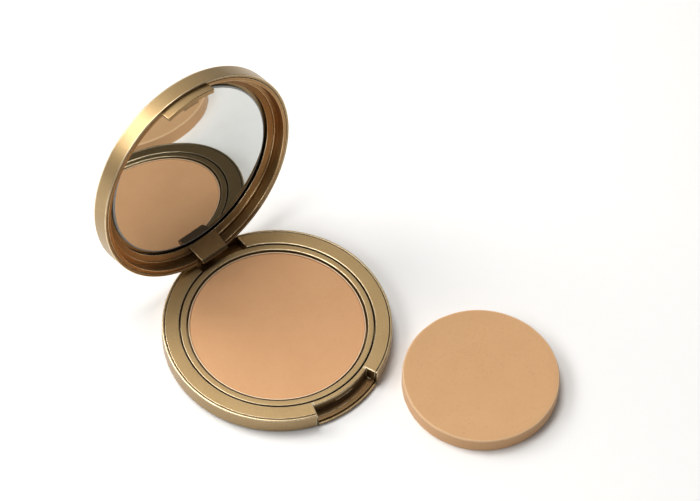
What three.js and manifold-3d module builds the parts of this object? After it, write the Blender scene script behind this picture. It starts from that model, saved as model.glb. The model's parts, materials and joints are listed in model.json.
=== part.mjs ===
// A round powder compact, standing open, with its sponge lying beside it.
// Millimetres, +Z up. The origin is the centre of the underside, on the table.
// The hinge is at the back (+Y) and the finger notch is at the front (-Y).
// The lid is drawn as it lies when shut, then turned about the hinge pin.
import * as THREE from 'three';
import { mergeVertices } from 'three/addons/utils/BufferGeometryUtils.js';
import Module from 'manifold-3d';

const wasm = await Module();
wasm.setup();

// ---- Driving dimensions -----------------------------------------------------------

const aroundSteps = 72;            // flats round a full turn
const fineSteps = 24;              // flats round a small pin or hole
const slip = 0.15;                 // side gap between pieces that drop into each other
const seatGap = 0.05;              // gap under a piece that rests on another

const baseRadius = 38;             // a 59 mm refill pan with its collar and wall
const baseHeight = 6.9;
const shellWall = 0.75;
const floorThickness = 1.3;
const footRound = 1.3;             // rounding of the wall into the underside
const edgeRound = 0.35;            // rounding of the rims
const labelRadius = 22;
const labelThickness = 0.18;

const deckGap = 0.25;              // fine line between the outer wall and the collar
const collarInner = 32.35;         // broad flat collar round the powder
const notchInner = 33.9;           // inner wall of the finger notch
const notchHalfAngle = 0.343;      // radians each side of the front
const notchLip = 1.35;             // what is left of the outer wall under a finger
const notchFloor = 2.2;
const notchStep = 35.6;            // radius where the notch floor starts to fall away
const ribReach = 0.3;              // catch rib on the notch's inner wall
const ribHalfAngle = 0.105;
const ribHeight = 4.5;

const wellOuter = 31.85;           // narrow ring that the pan drops into
const wellInner = 29.85;
const wellTop = 6.75;
const wellFloor = 2.9;
const magnetRadius = 6;
const magnetThickness = 0.9;

const panRadius = 29.25;
const panHeight = 3.3;
const panWall = 0.35;
const powderTop = 6.0;

const pinY = 36.4;                 // hinge pin axis, above the parting plane
const pinZ = 9.5;
const pinRadius = 0.6;
const pinHoleRadius = 0.68;
const pinHalfLength = 5.0;
const knuckleHalfWidth = 3.0;      // the base's tongue between the lid's two cheeks
const knuckleRadius = 1.6;
const tongueFront = 36.3;
const lugHalfWidth = 5.1;          // the lid's lug at its tip, cheeks and all
const lugRootHalf = 6.0;           // and where it meets the mirror
const cheekInner = 3.25;
const hingeGapLeft = -5.6;         // opening in the collar behind the powder
const hingeGapRight = 12;
const hingeGapFloor = 3.4;
const hingeRelief = 3.0;            // radius swept by the lid's rim about the pin
const hingeReliefHalf = 9;
const openAngle = THREE.MathUtils.degToRad(101);

const lidRadius = 38.3;
const lidRim = 7.1;                // parting plane of the lid when shut
const lidTop = 13.7;
const lidCrown = 0.35;             // how far the middle of the lid stands above its edge
const lidShoulder = 1.1;           // rounding of the lid's outer edge
const lidSkin = 0.95;
const rimInner = 35.9;             // flat rim of the lid's inner frame
const ledgeHeight = 10.0;
const ledgeInner = 34.3;
const bandTop = 10.7;
const mirrorRadius = 31.4;
const mirrorGap = 1.1;             // open ring between the mirror and the frame
const lidGap = 0.25;               // fine line between the cover and the frame
const mirrorFace = 11.6;
const mirrorThickness = 1.0;
const mirrorBevel = 0.6;
const padRadius = 27;

const latchInner = 35.35;          // curved tongue that drops into the notch
const latchOuter = 37.05;
const latchHalfAngle = 0.262;
const latchTip = 3.9;

const spongeRadius = 26;
const spongeThickness = 5.8;
const spongeEdge = 0.6;
const spongeX = 39.3;
const spongeY = -57.1;

// ---- Finishes ----------------------------------------------------------------------

const finish = (color, roughness, metalness) =>
  new THREE.MeshStandardMaterial({ color, roughness, metalness });
const satinGold = finish(0xa8946a, 0.36, 0.95);
const innerGold = finish(0x93794a, 0.42, 0.9);
const tinplate = finish(0xc9bfae, 0.35, 0.9);
const steel = finish(0x9a9a98, 0.3, 1.0);
const magnetBlack = finish(0x3a3a3c, 0.45, 0.6);
const powder = finish(0xd6a57b, 0.95, 0.0);
const foam = finish(0xd8aa80, 0.95, 0.0);
const silvered = finish(0xe4e6e4, 0.03, 1.0);
const adhesive = finish(0xe8e6df, 0.8, 0.0);
const paper = finish(0xe9e4d8, 0.7, 0.0);

// ---- Solids and booleans -----------------------------------------------------------

/** Corner points of a quarter-circle rounding, from one angle to another. */
function arc(cx, cz, radius, from, to, steps = 4) {
  return Array.from({ length: steps + 1 }, (_, i) => {
    const a = THREE.MathUtils.degToRad(from + ((to - from) * i) / steps);
    return [cx + radius * Math.cos(a), cz + radius * Math.sin(a)];
  });
}

/** A closed manifold solid of a three.js geometry, turned right side out. */
function solid(geometry) {
  const bare = geometry.clone();
  bare.deleteAttribute('normal');
  bare.deleteAttribute('uv');
  const merged = mergeVertices(bare, 1e-5);
  const points = merged.attributes.position.array;
  const index = merged.index.array;
  const corners = [];
  for (let i = 0; i < index.length; i += 3) {
    const [a, b, c] = [index[i], index[i + 1], index[i + 2]];
    if (a !== b && b !== c && c !== a) corners.push(a, b, c);
  }
  if (signedVolume(points, corners) < 0) {
    for (let i = 0; i < corners.length; i += 3) {
      [corners[i], corners[i + 1]] = [corners[i + 1], corners[i]];
    }
  }
  return new wasm.Manifold(new wasm.Mesh({
    numProp: 3,
    vertProperties: new Float32Array(points),
    triVerts: new Uint32Array(corners),
  }));
}

function signedVolume(points, corners) {
  const at = (i) => new THREE.Vector3().fromArray(points, 3 * i);
  let sum = 0;
  for (let i = 0; i < corners.length; i += 3) {
    sum += at(corners[i]).dot(at(corners[i + 1]).cross(at(corners[i + 2])));
  }
  return sum / 6;
}

/** A body of revolution about Z from [radius, height] points. */
function turned(points, steps = aroundSteps) {
  const profile = points.map(([r, z]) => new THREE.Vector2(r, z));
  const onAxis = points[0][0] === 0 && points.at(-1)[0] === 0;
  if (!onAxis) profile.push(profile[0].clone());
  return solid(new THREE.LatheGeometry(profile, steps).rotateX(Math.PI / 2));
}

/** A block that fills a stretch of a ring: radii, middle angle, half angle, heights. */
function ringBlock(inner, outer, middle, halfAngle, low, high) {
  const shape = new THREE.Shape();
  shape.absarc(0, 0, outer, middle - halfAngle, middle + halfAngle, false);
  shape.absarc(0, 0, inner, middle + halfAngle, middle - halfAngle, true);
  const options = { depth: high - low, bevelEnabled: false, curveSegments: 10 };
  return solid(new THREE.ExtrudeGeometry(shape, options).translate(0, 0, low));
}

/** An upright box from its lowest and highest corners. */
function block(low, high) {
  const size = high.map((v, i) => v - low[i]);
  const middle = high.map((v, i) => (v + low[i]) / 2);
  return solid(new THREE.BoxGeometry(...size).translate(...middle));
}

/** A side view in [y, z] points, drawn out along X between two places. */
function sideways(points, from, to) {
  const shape = new THREE.Shape(points.map(([y, z]) => new THREE.Vector2(y, z)));
  const geometry = new THREE.ExtrudeGeometry(shape, { depth: to - from, bevelEnabled: false });
  const turn = new THREE.Matrix4().makeBasis(
    new THREE.Vector3(0, 1, 0), new THREE.Vector3(0, 0, 1), new THREE.Vector3(1, 0, 0));
  return solid(geometry.applyMatrix4(turn).translate(from, 0, 0));
}

/** A round bar along X through the hinge axis. */
function pinBar(radius, halfLength) {
  const geometry = new THREE.CylinderGeometry(radius, radius, 2 * halfLength, fineSteps);
  return solid(geometry.rotateZ(Math.PI / 2).translate(0, pinY, pinZ));
}

function piece(name, body, material) {
  const { vertProperties, triVerts } = body.getMesh();
  const geometry = new THREE.BufferGeometry();
  geometry.setAttribute('position', new THREE.BufferAttribute(vertProperties, 3));
  geometry.setIndex(new THREE.BufferAttribute(triVerts, 1));
  geometry.computeVertexNormals();
  const mesh = new THREE.Mesh(geometry, material);
  mesh.name = name;
  return mesh;
}

// ---- The base ----------------------------------------------------------------------

const front = -Math.PI / 2;
const clearOfBase = 50;            // far enough past any wall for a cutter

/** Outer cup: floor with a shallow label recess, and the low wall. */
function baseShell() {
  const outline = [
    [0, labelThickness + seatGap],
    [labelRadius + slip, labelThickness + seatGap],
    [labelRadius + slip, 0],
    ...arc(baseRadius - footRound, footRound, footRound, -90, 0),
    ...arc(baseRadius - edgeRound, baseHeight - edgeRound, edgeRound, 0, 90, 3),
    [baseRadius - shellWall, baseHeight],
    [baseRadius - shellWall, floorThickness],
    [0, floorThickness],
  ];
  const notch = ringBlock(
    baseRadius - 2, clearOfBase, front, notchHalfAngle, notchLip, clearOfBase);
  const hinge = block(
    [hingeGapLeft, collarInner, hingeGapFloor + slip], [-hingeGapLeft, clearOfBase, clearOfBase]);
  return turned(outline).subtract(notch).subtract(hinge)
    .subtract(pinBar(hingeRelief, hingeReliefHalf));
}

/** Broad collar with the notch, its catch rib, and the hinge tongue at the back. */
function deckCollar() {
  const outer = baseRadius - shellWall - deckGap;
  const bottom = floorThickness + seatGap;
  const chamfer = 0.2;
  const ring = turned([
    [collarInner, bottom], [outer, bottom],
    [outer, baseHeight - chamfer], [outer - chamfer, baseHeight],
    [collarInner + chamfer, baseHeight], [collarInner, baseHeight - chamfer],
  ]);
  const hollow = turned([
    [notchInner, notchFloor], [notchStep, notchFloor], [notchStep + 0.25, notchFloor - 0.35],
    [clearOfBase, notchFloor - 0.75], [clearOfBase, clearOfBase], [notchInner, clearOfBase],
  ]);
  const notch = hollow.intersect(
    ringBlock(notchInner - 0.01, clearOfBase, front, notchHalfAngle, 0, clearOfBase));
  const rib = ringBlock(
    notchInner - 0.5, notchInner + ribReach, front, ribHalfAngle, ribHeight, ribHeight + 0.5);
  const gap = block(
    [hingeGapLeft, collarInner - 5, hingeGapFloor], [hingeGapRight, clearOfBase, clearOfBase]);
  return ring.subtract(notch).add(rib).subtract(gap)
    .subtract(pinBar(hingeRelief, hingeReliefHalf)).add(hingeTongue());
}

/** Upright tongue on the collar's gap floor that holds the hinge pin. */
function hingeTongue() {
  const wallLine = baseRadius - shellWall - deckGap - 0.05;
  const aboveWall = hingeGapFloor + 0.4;
  const side = [
    [tongueFront - 0.9, hingeGapFloor - 0.8], [wallLine, hingeGapFloor - 0.8],
    [wallLine, aboveWall], [pinY + knuckleRadius, aboveWall],
    ...arc(pinY, pinZ, knuckleRadius, 0, 180, 10),
    [tongueFront, pinZ - 1.8], [tongueFront, hingeGapFloor + 0.4],
    [tongueFront - 0.9, hingeGapFloor],
  ];
  return sideways(side, -knuckleHalfWidth, knuckleHalfWidth)
    .subtract(pinBar(pinHoleRadius, knuckleHalfWidth + 1));
}

/** Cup with a narrow flat ring round its mouth, and a pocket for the magnet below. */
function panWell() {
  const chamfer = 0.25;
  const bottom = floorThickness + seatGap;
  const pocket = bottom + magnetThickness + seatGap;
  return turned([
    [0, pocket], [magnetRadius + slip, pocket], [magnetRadius + slip, bottom],
    [wellOuter, bottom], [wellOuter, wellTop - chamfer], [wellOuter - chamfer, wellTop],
    [wellInner + chamfer, wellTop], [wellInner, wellTop - chamfer],
    [wellInner, wellFloor], [0, wellFloor],
  ]);
}

function disc(radius, low, high, steps = aroundSteps) {
  return turned([[0, low], [radius, low], [radius, high], [0, high]], steps);
}

/** Pressed metal pan of the powder, with a small radius in the corner. */
function powderPan() {
  const low = wellFloor + seatGap;
  const high = low + panHeight;
  return turned([
    [0, low], [panRadius - 0.5, low], [panRadius, low + 0.5], [panRadius, high],
    [panRadius - panWall, high], [panRadius - panWall, low + panWall + 0.4],
    [panRadius - panWall - 0.4, low + panWall], [0, low + panWall],
  ]);
}

function powderCake() {
  const radius = panRadius - panWall - seatGap;
  const low = wellFloor + seatGap + panWall + seatGap;
  return turned([
    [0, low], [radius - 0.45, low], [radius, low + 0.45],
    [radius, powderTop - 0.15], [radius - 0.15, powderTop], [0, powderTop],
  ]);
}

// ---- The lid, drawn shut ------------------------------------------------------------

/** Outer cover: gently crowned top, rounded shoulder and straight wall. */
function lidShell() {
  const crownEnd = lidRadius - lidShoulder;
  const crown = Array.from({ length: 5 }, (_, i) => {
    const r = (crownEnd * i) / 5;
    return [r, lidTop + lidCrown * (1 - (r / crownEnd) ** 2)];
  });
  const outline = [
    ...crown,
    ...arc(crownEnd, lidTop - lidShoulder, lidShoulder, 90, 0, 6),
    ...arc(lidRadius - edgeRound, lidRim + edgeRound, edgeRound, 0, -90, 3),
    [lidRadius - lidSkin, lidRim],
    [lidRadius - lidSkin, lidTop - lidSkin],
    [0, lidTop - lidSkin],
  ];
  const hinge = block(
    [-lugRootHalf - slip, lidRadius - 3, 0], [lugRootHalf + slip, clearOfBase, pinZ + 2.1]);
  return turned(outline).subtract(hinge);
}

/** Inner frame: flat rim, deep wall, ledge and sloping band round the mirror. */
function lidFrame() {
  const outer = lidRadius - lidSkin - lidGap;
  const back = lidTop - lidSkin - slip;
  const bore = mirrorRadius + mirrorGap;
  const ring = turned([
    [outer, lidRim], [rimInner, lidRim], [rimInner - 0.1, ledgeHeight],
    [ledgeInner, ledgeHeight], [ledgeInner, bandTop], [bore, mirrorFace - 0.2],
    [bore, back], [outer, back],
  ]);
  return ring.add(latchTongue()).add(hingeLug()).subtract(hingeCavity())
    .subtract(pinBar(pinHoleRadius, lugRootHalf + 1));
}

/** Curved tongue at the front with a low bump that hooks under the notch's rib. */
function latchTongue() {
  const tongue = ringBlock(
    latchInner, latchOuter, front, latchHalfAngle, latchTip, ledgeHeight + 0.4);
  const bump = ringBlock(
    notchInner + 0.5, latchInner + 0.4, front, ribHalfAngle * 0.8, latchTip + 0.05, ribHeight - 0.15);
  return tongue.add(bump);
}

const lugTip = 4.5;                // lowest point of the lug with the lid shut

/** Lug at the back that reaches down past the rim and wraps the hinge pin. */
function hingeLug() {
  const side = [
    [32.4, mirrorFace], [34.95, lugTip + 0.85], [35.9, lugTip], [36.4, lugTip + 0.5],
    ...arc(pinY, pinZ, knuckleRadius - 0.05, -30, 90, 8),
    [pinY - 1, mirrorFace],
  ];
  const taper = new THREE.Shape([
    [-lugHalfWidth, lugTip - 1], [lugHalfWidth, lugTip - 1], [lugHalfWidth, lugTip],
    [lugRootHalf, mirrorFace + 1], [-lugRootHalf, mirrorFace + 1], [-lugHalfWidth, lugTip],
  ].map(([x, z]) => new THREE.Vector2(x, z)));
  const front = new THREE.ExtrudeGeometry(taper, { depth: 20, bevelEnabled: false });
  const facing = solid(front.rotateX(Math.PI / 2).translate(0, pinY + 5, 0));
  return sideways(side, -lugRootHalf, lugRootHalf).intersect(facing);
}

/** Space inside the lug for the base's tongue, open below and behind. */
function hingeCavity() {
  const ceiling = pinZ + knuckleRadius + 0.25;
  const side = [
    [36.05, 0], [36.05, lugTip + 0.45], [34.3, pinZ - 0.5], [34.3, ceiling],
    [clearOfBase, ceiling], [clearOfBase, 0],
  ];
  return sideways(side, -cheekInner, cheekInner);
}

function mirror() {
  return turned([
    [0, mirrorFace], [mirrorRadius - mirrorBevel, mirrorFace],
    [mirrorRadius, mirrorFace + 0.3], [mirrorRadius, mirrorFace + mirrorThickness],
    [0, mirrorFace + mirrorThickness],
  ]);
}

function mirrorPad() {
  return disc(padRadius, mirrorFace + mirrorThickness + 0.03, lidTop - lidSkin - 0.03);
}

// ---- The sponge ---------------------------------------------------------------------

function sponge() {
  const inner = spongeRadius - spongeEdge;
  return turned([
    [0, 0], ...arc(inner, spongeEdge, spongeEdge, -90, 0, 3),
    ...arc(inner, spongeThickness - spongeEdge, spongeEdge, 0, 90, 3), [0, spongeThickness],
  ]);
}

// ---- Assembly -----------------------------------------------------------------------

const magnetLow = floorThickness + seatGap;
const base = new THREE.Group();
base.add(
  piece('base_shell', baseShell(), satinGold),
  piece('deck_collar', deckCollar(), satinGold),
  piece('pan_well', panWell(), satinGold),
  piece('pan_magnet', disc(magnetRadius, magnetLow, magnetLow + magnetThickness, 36), magnetBlack),
  piece('hinge_pin', pinBar(pinRadius, pinHalfLength), steel),
  piece('base_label', disc(labelRadius, 0, labelThickness), paper),
);

const pan = new THREE.Group();
pan.add(
  piece('powder_pan', powderPan(), tinplate),
  piece('powder_cake', powderCake(), powder),
);

const lid = new THREE.Group();
lid.add(
  piece('lid_shell', lidShell(), satinGold),
  piece('lid_frame', lidFrame(), innerGold),
  piece('mirror', mirror(), silvered),
  piece('mirror_pad', mirrorPad(), adhesive),
);
for (const mesh of lid.children) mesh.position.set(0, -pinY, -pinZ);
lid.position.set(0, pinY, pinZ);
lid.rotation.x = -openAngle;

const puff = new THREE.Group();
puff.add(piece('sponge', sponge(), foam));
puff.position.set(spongeX, spongeY, 0);

const compact = new THREE.Group();
compact.name = 'powder_compact';
compact.add(base, pan, lid, puff);

export default compact;
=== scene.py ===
"""Round powder compact: satin gold case, mirror lid, lift-out powder pan, loose foam sponge."""

from __future__ import annotations

import json
import logging
import math
from dataclasses import dataclass, field, replace
from enum import Enum
from typing import Callable

import bmesh
import bpy
from mathutils import Matrix, Vector, noise


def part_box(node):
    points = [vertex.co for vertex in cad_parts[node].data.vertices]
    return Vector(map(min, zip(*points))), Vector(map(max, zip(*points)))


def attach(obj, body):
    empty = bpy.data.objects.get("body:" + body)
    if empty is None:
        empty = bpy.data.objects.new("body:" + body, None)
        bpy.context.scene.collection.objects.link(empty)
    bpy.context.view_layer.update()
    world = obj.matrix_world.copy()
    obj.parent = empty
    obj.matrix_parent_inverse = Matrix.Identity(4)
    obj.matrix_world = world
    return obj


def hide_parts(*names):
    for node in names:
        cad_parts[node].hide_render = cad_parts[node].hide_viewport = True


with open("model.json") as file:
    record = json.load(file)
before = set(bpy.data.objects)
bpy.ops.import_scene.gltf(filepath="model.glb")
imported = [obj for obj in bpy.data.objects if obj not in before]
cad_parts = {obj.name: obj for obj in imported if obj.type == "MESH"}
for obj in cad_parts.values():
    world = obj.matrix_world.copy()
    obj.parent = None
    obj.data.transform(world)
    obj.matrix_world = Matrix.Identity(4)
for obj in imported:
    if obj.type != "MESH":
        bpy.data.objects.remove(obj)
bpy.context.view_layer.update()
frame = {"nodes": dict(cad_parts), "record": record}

LOG = logging.getLogger("compact")
MM = 0.001
# Mask of the outward corners, which finishes tint for wear, dust, a ground bevel and painted edge
# highlights.
EDGE_MARK = "outer_edge"
UPRIGHT = Vector((0.0, 0.0, 1.0))
ORIGIN = (0.0, 0.0, 0.0)
# Corners this near each other, in millimetres, are one corner.
MERGE = 1e-4
WELD_MERGE = 0.02
# How far, in millimetres, the lid's fine facets stay inside the coarser ones of the frame.
FACET_SLACK = 0.02
# Turns between two faces, in radians, from which an edge shades sharp or counts as an edge.
SHARP_TURN = math.radians(55)
EDGE_TURN = 0.15
BAR_FACETS = 48
ROUND_FACETS = 4
SHADING_WEIGHT = 80
# Millimetres: faces wider than the first are no edges, and no edge counts as shorter than the second.
EDGE_WIDTH = 0.32
SHORTEST = 1e-6
# Places of the sockets that mixing two colours uses on a Mix node.
MIX_FACTOR, MIX_UNDER, MIX_OVER, MIX_RESULT = 0, 6, 7, 2

RadiusHeight = tuple[float, float]
Triple = tuple[float, float, float]
Colour = Triple


class Body(Enum):
    """The bodies that the compact moves as."""

    BASE = "base"
    PAN = "pan"
    LID = "lid"
    PUFF = "puff"


class Slot(Enum):
    """The finishes by the names that the parts list gives them."""

    SATIN_GOLD = "satin_gold"
    INNER_GOLD = "inner_gold"
    TINPLATE = "tinplate"
    POWDER = "pressed_powder"
    MIRROR = "mirror_silver"
    FOAM = "sponge_foam"
    LABEL = "label_paper"


class Join(Enum):
    """How one solid is worked into another."""

    WELD = "UNION"
    CARVE = "DIFFERENCE"


# ---- Sizes read from the frame -------------------------------------------------------


def low_high(node: str) -> tuple[Vector, Vector]:
    """Corners of a part's box, in millimetres.

    Args:
        node: name of the part in the frame.

    Returns:
        Lowest and highest corner.
    """
    low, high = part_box(node)
    return low / MM, high / MM


def half_width(node: str) -> float:
    """Radius of a round part, in millimetres."""
    low, high = low_high(node)
    return (high.x - low.x) / 2


def starts_at(node: str) -> float:
    """Height at which a part starts, in millimetres."""
    return low_high(node)[0].z


def ends_at(node: str) -> float:
    """Height at which a part ends, in millimetres."""
    return low_high(node)[1].z


def measured(measure: Callable[[str], float], node: str) -> float:
    """A dataclass field whose value is measured on a part of the frame."""
    return field(default_factory=lambda: measure(node))


# ---- Mesh work -----------------------------------------------------------------------


@dataclass
class Section:
    """Cross-section of a turned piece, as corners that can be rounded.

    Attributes:
        steps: how many facets the full turn gets.
        start: angle of the first facet in degrees, so that cuts miss the facet lines.
        corners: radius, height and rounding of each corner, in order.
    """

    steps: int = 240
    start: float = 0.75
    corners: list[Triple] = field(default_factory=list)

    def at(self, radius: float, height: float, rounding: float = 0.0) -> "Section":
        """Adds a corner in millimetres and returns the section."""
        self.corners.append((radius, height, rounding))
        return self

    def spun(self, segments: int = ROUND_FACETS) -> bmesh.types.BMesh:
        """Rounds the corners and turns the section about the upright axis.

        Args:
            segments: facets across each rounded corner.

        Returns:
            A closed solid, faces out.
        """
        solid = bmesh.new()
        knots = [solid.verts.new((r, 0.0, z)) for r, z, _ in self.corners]
        pairs = list(zip(knots, knots[1:]))
        if self.corners[0][0] > 0.0 or self.corners[-1][0] > 0.0:
            pairs.append((knots[-1], knots[0]))
        for pair in pairs:
            solid.edges.new(pair)
        return self._turned(solid, knots, segments, math.radians(self.start), math.tau)

    def stretch(self, half_angle: float) -> bmesh.types.BMesh:
        """Rounds the corners and makes a stretch of a ring centred on the front, with flat ends.

        Args:
            half_angle: reach to each side of the front, in radians.

        Returns:
            A closed solid, faces out.
        """
        solid = bmesh.new()
        knots = [solid.verts.new((r, 0.0, z)) for r, z, _ in self.corners]
        solid.faces.new(knots)
        return self._turned(solid, knots, ROUND_FACETS, -math.pi / 2 - half_angle, 2 * half_angle)

    def _turned(self, solid: bmesh.types.BMesh, knots: list[bmesh.types.BMVert], segments: int,
                start: float, sweep: float) -> bmesh.types.BMesh:
        """Rounds an outline's corners and turns it about the upright axis.

        Args:
            solid: a mesh that holds the outline.
            knots: the outline's corners, in order.
            segments: facets across each rounded corner.
            start: angle at which the turn starts, in radians.
            sweep: how far it goes, in radians.

        Returns:
            A closed solid, faces out.
        """
        for size in sorted({c[2] for c in self.corners if c[2] > 0.0}):
            chosen = [knot for knot, corner in zip(knots, self.corners) if corner[2] == size]
            bmesh.ops.bevel(
                solid, geom=chosen, offset=size, offset_type="OFFSET", segments=segments,
                profile=0.5, affect="VERTICES", clamp_overlap=False, material=-1,
            )
        bmesh.ops.rotate(solid, verts=solid.verts, cent=ORIGIN, matrix=Matrix.Rotation(start, 3, "Z"))
        bmesh.ops.spin(
            solid, geom=solid.verts[:] + solid.edges[:] + solid.faces[:], cent=ORIGIN, axis=UPRIGHT,
            angle=sweep, steps=self.steps, use_merge=sweep == math.tau,
        )
        bmesh.ops.remove_doubles(solid, verts=solid.verts, dist=MERGE)
        bmesh.ops.recalc_face_normals(solid, faces=solid.faces)
        return solid


def drawn_out(outline: list[RadiusHeight], half_length: float) -> bmesh.types.BMesh:
    """A bar along X whose side view is given.

    Args:
        outline: depth and height of each corner of the side view.
        half_length: half the bar's length.

    Returns:
        A closed solid, faces out.
    """
    solid = bmesh.new()
    side = solid.faces.new([solid.verts.new((-half_length, y, z)) for y, z in outline])
    grown = bmesh.ops.extrude_face_region(solid, geom=[side])
    moved = [v for v in grown["geom"] if isinstance(v, bmesh.types.BMVert)]
    bmesh.ops.translate(solid, verts=moved, vec=(2 * half_length, 0, 0))
    bmesh.ops.recalc_face_normals(solid, faces=solid.faces)
    return solid


def arc(pin: Vector, radius: float, start: float, sweep: float, steps: int) -> list[RadiusHeight]:
    """Depths and heights along an arc about the pin, its angles in degrees."""
    angles = [math.radians(start + sweep * i / steps) for i in range(steps + 1)]
    return [(pin.y + radius * math.cos(a), pin.z + radius * math.sin(a)) for a in angles]


def box_between(low: Triple, high: Triple) -> bmesh.types.BMesh:
    """An upright block between two corners, used as a cutter.

    Args:
        low: its lowest corner.
        high: its highest corner.

    Returns:
        A closed solid.
    """
    solid = bmesh.new()
    size = Vector(high) - Vector(low)
    middle = (Vector(high) + Vector(low)) / 2
    place = Matrix.Translation(middle) @ Matrix.Diagonal((*size, 1.0))
    bmesh.ops.create_cube(solid, size=1.0, matrix=place)
    return solid


def bar_along_x(depth: float, height: float, radius: float, half_length: float) -> bmesh.types.BMesh:
    """A round bar along X at a depth and height.

    Args:
        depth: how far back the bar's middle lies.
        height: how high it lies.
        radius: the bar's radius.
        half_length: half the bar's length.

    Returns:
        A closed solid.
    """
    solid = bmesh.new()
    place = Matrix.Translation((0, depth, height)) @ Matrix.Rotation(math.pi / 2, 4, "Y")
    bmesh.ops.create_cone(
        solid, cap_ends=True, segments=BAR_FACETS, radius1=radius, radius2=radius,
        depth=2 * half_length, matrix=place,
    )
    return solid


def soften(solid: bmesh.types.BMesh, width: float, segments: int = 2, angle: float = 34.0,
           where: Callable[[Vector], bool] | None = None) -> None:
    """Takes the sharpness off a solid's edges.

    Args:
        solid: the mesh to work on, in millimetres.
        width: how far the softening reaches from each edge.
        segments: facets across the softened edge.
        angle: edges that turn less than this many degrees stay.
        where: picks edges by their middle; all edges when left out.
    """
    turn = math.radians(angle)
    chosen = []
    for edge in solid.edges:
        if len(edge.link_faces) != 2 or edge.calc_face_angle(0.0) < turn:
            continue
        middle = (edge.verts[0].co + edge.verts[1].co) / 2
        if where is None or where(middle):
            chosen.append(edge)
    bmesh.ops.bevel(
        solid, geom=chosen, offset=width, offset_type="OFFSET", segments=segments, profile=0.5,
        affect="EDGES", clamp_overlap=False, material=-1,
    )


def loose_object(solid: bmesh.types.BMesh, name: str) -> bpy.types.Object:
    """Puts a mesh into an object of its own and frees the mesh.

    Args:
        solid: the mesh, used up.
        name: name of the object and of its mesh.

    Returns:
        The object.
    """
    mesh = bpy.data.meshes.new(name)
    solid.to_mesh(mesh)
    solid.free()
    item = bpy.data.objects.new(name, mesh)
    bpy.context.scene.collection.objects.link(item)
    return item


def worked(solid: bmesh.types.BMesh, tools: list[tuple[Join, bmesh.types.BMesh]]) -> bmesh.types.BMesh:
    """Welds solids onto a solid or carves them out of it.

    Args:
        solid: the solid to work on; it is used up.
        tools: what is done with each further solid, in order; they are used up.

    Returns:
        The finished solid.
    """
    body = loose_object(solid, "stock")
    spent = [body]
    for number, (join, tool) in enumerate(tools):
        other = loose_object(tool, f"tool_{number}")
        spent.append(other)
        step = body.modifiers.new(f"step_{number}", "BOOLEAN")
        step.operation = join.value
        step.solver = "EXACT"
        step.object = other
    bpy.context.view_layer.update()
    ready = bpy.data.meshes.new_from_object(body.evaluated_get(bpy.context.evaluated_depsgraph_get()))
    result = bmesh.new()
    result.from_mesh(ready)
    bpy.data.meshes.remove(ready)
    for item in spent:
        mesh = item.data
        bpy.data.objects.remove(item)
        bpy.data.meshes.remove(mesh)
    bmesh.ops.remove_doubles(result, verts=result.verts, dist=WELD_MERGE)
    bmesh.ops.dissolve_degenerate(result, edges=result.edges, dist=MERGE)
    return result


def mark_edges(solid: bmesh.types.BMesh, widest: float) -> None:
    """Marks the narrow faces on outward corners, where finishes show wear, dust, a ground bevel or
    painted highlight lines.

    Args:
        solid: the mesh, in millimetres.
        widest: faces broader than this are not edges.
    """
    mark = solid.loops.layers.float.new(EDGE_MARK)
    for face in solid.faces:
        longest = max(face.edges, key=lambda e: e.calc_length())
        length = max(longest.calc_length(), SHORTEST)
        narrow = face.calc_area() / length < widest
        turned = any(e.calc_face_angle(0.0) > EDGE_TURN and e.is_convex for e in face.edges)
        if narrow and turned:
            for loop in face.loops:
                loop[mark] = 1.0


def finished(solid: bmesh.types.BMesh, name: str, placed: Matrix | None = None,
             even_shading: bool = True, widest_edge: float = EDGE_WIDTH) -> bpy.types.Object:
    """Turns a solid in millimetres into a finished piece in metres.

    Args:
        solid: the mesh, used up.
        name: name of the piece.
        placed: turn applied in metres, such as the open lid's.
        even_shading: keeps broad faces flat beside their soft edges.
        widest_edge: millimetres up to which an outward corner's face counts as edge.

    Returns:
        The piece, with its place in its mesh.
    """
    mark_edges(solid, widest_edge)
    bmesh.ops.scale(solid, vec=(MM, MM, MM), verts=solid.verts)
    if placed is not None:
        bmesh.ops.transform(solid, matrix=placed, verts=solid.verts)
    for face in solid.faces:
        face.smooth = True
    for edge in solid.edges:
        edge.smooth = edge.calc_face_angle(0.0) < SHARP_TURN
    item = loose_object(solid, name)
    if even_shading:
        weigh = item.modifiers.new("even_shading", "WEIGHTED_NORMAL")
        weigh.keep_sharp = True
        weigh.weight = SHADING_WEIGHT
    return item


# ---- Shader work ---------------------------------------------------------------------


class Signal:
    """A number that varies over a surface; arithmetic on it adds Math nodes."""

    def __init__(self, board: "Board", socket: bpy.types.NodeSocket) -> None:
        """Keeps the socket and the board that it is on."""
        self.board = board
        self.socket = socket

    def _math(self, operation: str, first: "Signal | float", second: "Signal | float") -> "Signal":
        """One Math node between two values."""
        node = self.board.add("ShaderNodeMath", {"operation": operation}, {0: first, 1: second})
        return Signal(self.board, node.outputs[0])

    def __add__(self, other: "Signal | float") -> "Signal":
        """Sum."""
        return self._math("ADD", self, other)

    __radd__ = __add__

    def __sub__(self, other: "Signal | float") -> "Signal":
        """Difference."""
        return self._math("SUBTRACT", self, other)

    def __rsub__(self, other: "Signal | float") -> "Signal":
        """Difference taken from a plain number."""
        return self._math("SUBTRACT", other, self)

    def __mul__(self, other: "Signal | float") -> "Signal":
        """Product."""
        return self._math("MULTIPLY", self, other)

    __rmul__ = __mul__

    def __pow__(self, other: float) -> "Signal":
        """Power."""
        return self._math("POWER", self, other)

    def between(self, low: float, high: float) -> "Signal":
        """Stretches the stretch from low to high over 0 to 1 and clips the rest.

        Args:
            low: value that becomes 0.
            high: value that becomes 1.

        Returns:
            The stretched and clipped number.
        """
        node = self.board.add("ShaderNodeMapRange", {"clamp": True}, {
            "Value": self, "From Min": low, "From Max": high})
        return Signal(self.board, node.outputs["Result"])


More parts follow.
